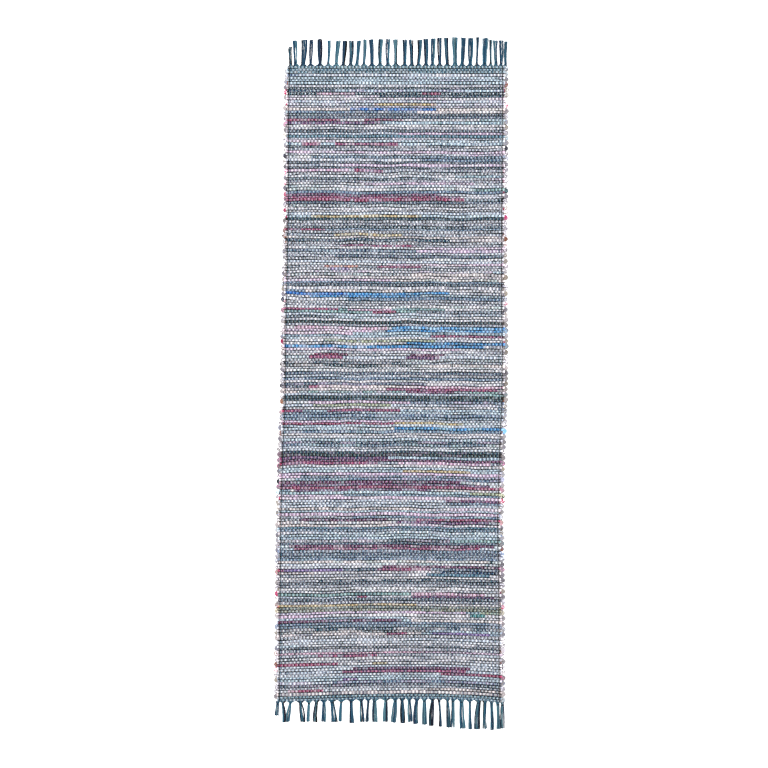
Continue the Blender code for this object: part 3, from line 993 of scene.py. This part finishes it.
class RAG_RUG_OT_fringe(bpy.types.Operator):
    """Knot the fringes: every warp end runs on, is gathered in a knot and falls in loose locks"""

    bl_idname = "rag_rug.fringe"
    bl_label = "Knot Fringes"

    def execute(self, context):
        rug = context.scene.rag_rug
        yarn = yarn_material("fringe_yarn")
        ends = (("far", EDGES[0].y, 1.0, FAR_BUNDLES), ("near", EDGES[-1].y, -1.0, NEAR_BUNDLES))
        for number, (name, edge, outward, bundles) in enumerate(ends):
            rng = np.random.default_rng(SEED + 40 + number)
            locks = self.locks(rug, name + "_locks", edge, outward, bundles, yarn, rng)
            knots = self.knots(name + "_knots", edge, outward, bundles, yarn, rng)
            for piece in (locks, knots):
                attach(piece, "root")
                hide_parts("fringe_" + name)
        return {"FINISHED"}

    def edge_at(self, x, edge):
        """The y of the cloth's end at an x."""
        share = (x + RUG_MIDDLE[0] - column(EDGES, "left", edge)) / width_at(edge)
        return lie(share, edge)[1]

    def sort_ends(self, rug, x, roots, locks):
        """For each warp end, its x, its bundle, its lock in it, and its place in that lock from 0 to 1.

        The ends share out over the knots' span, so that the outer knots gather yarns too.
        """
        spanned = np.interp(x, (x[0], x[-1]), (roots[0] - OUTER_GATHER, roots[-1] + OUTER_GATHER))
        bundle = np.searchsorted((roots[:-1] + roots[1:]) / 2, spanned)
        first = np.searchsorted(bundle, np.arange(len(roots)))
        count = np.bincount(bundle, minlength=len(roots))
        order = (np.arange(rug.ends) - first[bundle] + 0.5) / count[bundle] * locks[bundle]
        return spanned, bundle, np.floor(order).astype(int), order % 1

    def locks(self, rug, name, edge, outward, bundles, material, rng):
        """Yarns from the header to their tips: a lead drawn in to the knot, then a lock.

        In a lock a yarn turns round the lock's middle line: middle + spread (cos a side, flatten sin a up),
        where a grows evenly along it and the spread grows towards the tip.
        """
        roots, tips, reaches, locks = (np.array(bundles) * (MILLIMETRE, MILLIMETRE, MILLIMETRE, 1)).T
        roots = roots - RUG_MIDDLE[0]
        tips = tips - RUG_MIDDLE[0]
        x, y = lie(end_share(rug, np.arange(rug.ends), edge), edge)
        x, bundle, lock, order = self.sort_ends(rug, x, roots, locks)
        per_lock = rng.uniform(-1.0, 1.0, (4, len(bundles), int(locks.max())))[:, bundle, lock]
        bend, trim, phase, twist = per_lock
        place = lock - (locks[bundle] - 1) / 2
        s = np.linspace(0.0, 1.0, YARN_STATIONS - len(LEAD_OUT))
        knot_x = (roots[bundle] + place * LOCK_ROOT_PITCH)[:, None]
        tip_x = (tips[bundle] + place * LOCK_PITCH)[:, None]
        middle_x = knot_x + LOCK_SWING * (tip_x - knot_x) + bend[:, None] * LOCK_BEND
        lock_x = (1 - s) * (1 - 2 * s) * knot_x + 4 * s * (1 - s) * middle_x + s * (2 * s - 1) * tip_x
        root_y = self.edge_at(roots, edge)[bundle]
        reach = reaches[bundle] - LOCK_TRIM * (1 + trim) - rng.uniform(0.0, YARN_TRIM, rug.ends)
        lock_y = root_y[:, None] + outward * (KNOT_OUT + s * (reach - KNOT_OUT)[:, None])
        spread = LOCK_SPREAD * (KNOT_SPREAD + TIP_SPREAD * s) * rng.uniform(*YARN_SPREADS, (rug.ends, 1))
        angle = (phase * np.pi + order * 2 * np.pi)[:, None] + LOCK_TWIST * twist[:, None] * s
        angle = angle + YARN_STRAY * rng.uniform(-1, 1, angle.shape)
        height = KNOT_MIDDLE + (LOCK_HEIGHT - KNOT_MIDDLE) * np.minimum(1.0, LOCK_FALL * s)
        lock_x = lock_x + spread * np.cos(angle)
        lock_z = np.maximum(height + LOCK_FLATTEN * spread * np.sin(angle), YARN_REST)
        lead = self.lead(x, y, root_y, lock_x[:, 0], lock_z[:, 0], outward)
        centres = np.concatenate([lead, np.stack([lock_x, lock_y, lock_z], axis=-1)], axis=1)
        radius = rug.yarn / 2 * rng.uniform(*YARN_WIDTHS, centres.shape[:2])
        points = sections(centres, radius, radius, ring_points(YARN_SIDES))
        faces = np.concatenate(tube_faces(rug.ends, YARN_STATIONS, YARN_SIDES))
        piece = make_piece(name, points, faces, self.maps(centres), material)
        shared = rng.choice(len(FRINGE_COLOURS), (len(bundles), int(locks.max())), p=FRINGE_SHARES)
        own = rng.choice(len(FRINGE_COLOURS), rug.ends, p=FRINGE_SHARES)
        alike = rng.uniform(0.0, 1.0, rug.ends) < LOCK_LIKENESS
        colours = linear(FRINGE_COLOURS)[np.where(alike, shared[bundle, lock], own)]
        add_colours(piece, "yarn_colour", "POINT", np.repeat(colours, YARN_STATIONS * YARN_SIDES, axis=0))
        return piece

    def lead(self, x, y, root_y, knot_x, knot_z, outward):
        """The stations from the header to the knot, each drawn in by its share of the way."""
        draw = np.array(LEAD_DRAW)
        lead_x = x[:, None] + draw * (knot_x - x)[:, None]
        lead_y = y[:, None] + outward * np.array(LEAD_OUT) + draw * (root_y - y)[:, None]
        lead_z = HEADER_HEIGHT + draw * (knot_z - HEADER_HEIGHT)[:, None]
        return np.stack([lead_x, lead_y, lead_z], axis=-1)

    def maps(self, centres):
        """The weave map in metres, and one that gives each yarn a strip of its own."""
        along = path_lengths(centres)[..., None]
        tube = np.arange(len(centres))[:, None, None]
        ring = np.arange(YARN_SIDES + 1) / YARN_SIDES
        weave = corner_values(ring * YARN_GIRTH + tube * WEAVE_GAP, along)
        bake = corner_values((tube + ring) / len(centres), along / along[:, -1:] * WALL_SHARE)
        caps = cap_corners(len(centres), YARN_SIDES)
        return {"weave": join_corners(weave, caps), "OFBake": join_corners(bake, caps)}

    def knots(self, name, edge, outward, bundles, material, rng):
        """Two crossed wraps for each knot, rings of yarn round the gathered ends.

        A ring's middle line is (reach cos a, turn reach cos a, rise sin a) from the knot's middle, and
        the yarn's skin is a radius off it at an angle b.
        """
        roots = np.repeat([bundle[0] * MILLIMETRE - RUG_MIDDLE[0] for bundle in bundles], 2)
        turn = np.tile((WRAP_TURN, -WRAP_TURN), len(bundles)) * rng.uniform(*WRAP_TURNS, len(roots))
        out = KNOT_OUT + rng.uniform(-WRAP_STRAY, WRAP_STRAY, len(roots))
        middle_y = self.edge_at(roots, edge) + outward * out
        reach = WRAP_REACH * rng.uniform(*WRAP_REACHES, len(roots))
        roots, turn, middle_y, reach = (part[:, None, None] for part in (roots, turn, middle_y, reach))
        a = np.arange(WRAP_STEPS)[:, None] / WRAP_STEPS * 2 * np.pi
        b = np.arange(WRAP_SIDES) / WRAP_SIDES * 2 * np.pi
        x = roots + (reach + WRAP_RADIUS * np.cos(b)) * np.cos(a)
        y = middle_y + turn * reach * np.cos(a) + WRAP_RADIUS * np.sin(b)
        z = KNOT_MIDDLE + (WRAP_RISE + WRAP_RADIUS * np.cos(b)) * np.sin(a) + 0 * x
        steps = np.arange(WRAP_STEPS + 1) % WRAP_STEPS
        ring = np.arange(WRAP_SIDES + 1) % WRAP_SIDES
        number = np.arange(len(roots))[:, None, None]
        faces = face_corners((number * WRAP_STEPS + steps[:, None]) * WRAP_SIDES + ring)
        along = np.arange(WRAP_STEPS + 1)[:, None] / WRAP_STEPS
        round_yarn = np.arange(WRAP_SIDES + 1) / WRAP_SIDES
        weave = corner_values(round_yarn * WRAP_GIRTH + number * WEAVE_GAP, along * WRAP_LENGTH)
        maps = {"weave": weave, "OFBake": corner_values((number + round_yarn) / len(roots), along)}
        piece = make_piece(name, np.stack([x, y, z], axis=-1), faces, maps, material)
        colours = linear(KNOT_COLOURS)[rng.choice(len(KNOT_COLOURS), len(roots))]
        add_colours(piece, "yarn_colour", "POINT", np.repeat(colours, WRAP_STEPS * WRAP_SIDES, axis=0))
        return piece


class RAG_RUG_OT_stage(bpy.types.Operator):
    """Set the stage: a plain pale floor, soft light from above and a camera looking straight down"""

    bl_idname = "rag_rug.stage"
    bl_label = "Set Stage"

    def execute(self, context):
        stage = context.scene.rag_stage
        scene = context.scene
        half = stage.floor_size / 2
        points = np.array([(-half, -half, 0), (half, -half, 0), (half, half, 0), (-half, half, 0)])
        material, shader = new_material("floor", roughness=0.9, sheen=0.0)
        shader.inputs["Base Color"].default_value = (*stage.floor_colour, 1.0)
        floor = make_piece("floor", points, np.arange(4), {}, material)
        world = bpy.data.worlds.new("sky")
        world.use_nodes = True
        background = world.node_tree.nodes["Background"]
        background.inputs["Color"].default_value = (1.0, 1.0, 1.0, 1.0)
        background.inputs["Strength"].default_value = stage.sky
        scene.world = world
        lamp = bpy.data.lights.new("lamp", "AREA")
        lamp.energy = stage.lamp_power
        lamp.size = stage.lamp_size
        lamp_object = bpy.data.objects.new("lamp", lamp)
        lamp_object.location = LAMP_PLACE
        lamp_object.rotation_euler = LAMP_TURN
        scene.collection.objects.link(lamp_object)
        camera = bpy.data.cameras.new("camera")
        camera.sensor_width = SENSOR_WIDTH
        camera.lens = camera.sensor_width * stage.camera_height / stage.view_width
        camera_object = bpy.data.objects.new("camera", camera)
        camera_object.location = (*CAMERA_PLACE, stage.camera_height)
        scene.collection.objects.link(camera_object)
        scene.camera = camera_object
        scene.view_settings.view_transform = "Standard"
        return {"FINISHED"}


class RAG_RUG_PT_panel(bpy.types.Panel):
    """The rug's steps and sizes"""

    bl_idname = "RAG_RUG_PT_panel"
    bl_label = "Rag Rug"
    bl_space_type = "VIEW_3D"
    bl_region_type = "UI"
    bl_category = "Rag Rug"

    def draw(self, context):
        for operator in STEPS:
            self.layout.operator(operator.bl_idname)
        for settings in (context.scene.rag_rug, context.scene.rag_stage):
            for name in settings.__annotations__:
                self.layout.prop(settings, name)


STEPS = (RAG_RUG_OT_warp, RAG_RUG_OT_weft, RAG_RUG_OT_fringe, RAG_RUG_OT_stage)
CLASSES = (RugSettings, StageSettings, *STEPS, RAG_RUG_PT_panel)


def register():
    """Register the classes and the scene's settings."""
    for kind in CLASSES:
        bpy.utils.register_class(kind)
    bpy.types.Scene.rag_rug = PointerProperty(type=RugSettings)
    bpy.types.Scene.rag_stage = PointerProperty(type=StageSettings)


def unregister():
    """Undo register."""
    del bpy.types.Scene.rag_stage
    del bpy.types.Scene.rag_rug
    for kind in reversed(CLASSES):
        bpy.utils.unregister_class(kind)


def declare_sheet():
    """Work out the rug's flat width and length, which nothing uses further."""
    flat = (float(width_at(0.0)), EDGES[0].y - EDGES[-1].y)


def main():
    """Build everything in order."""
    register()
    bpy.ops.rag_rug.warp()
    bpy.ops.rag_rug.weft()
    bpy.ops.rag_rug.fringe()
    bpy.ops.rag_rug.stage()
    declare_sheet()


if __name__ == "__main__":
    main()
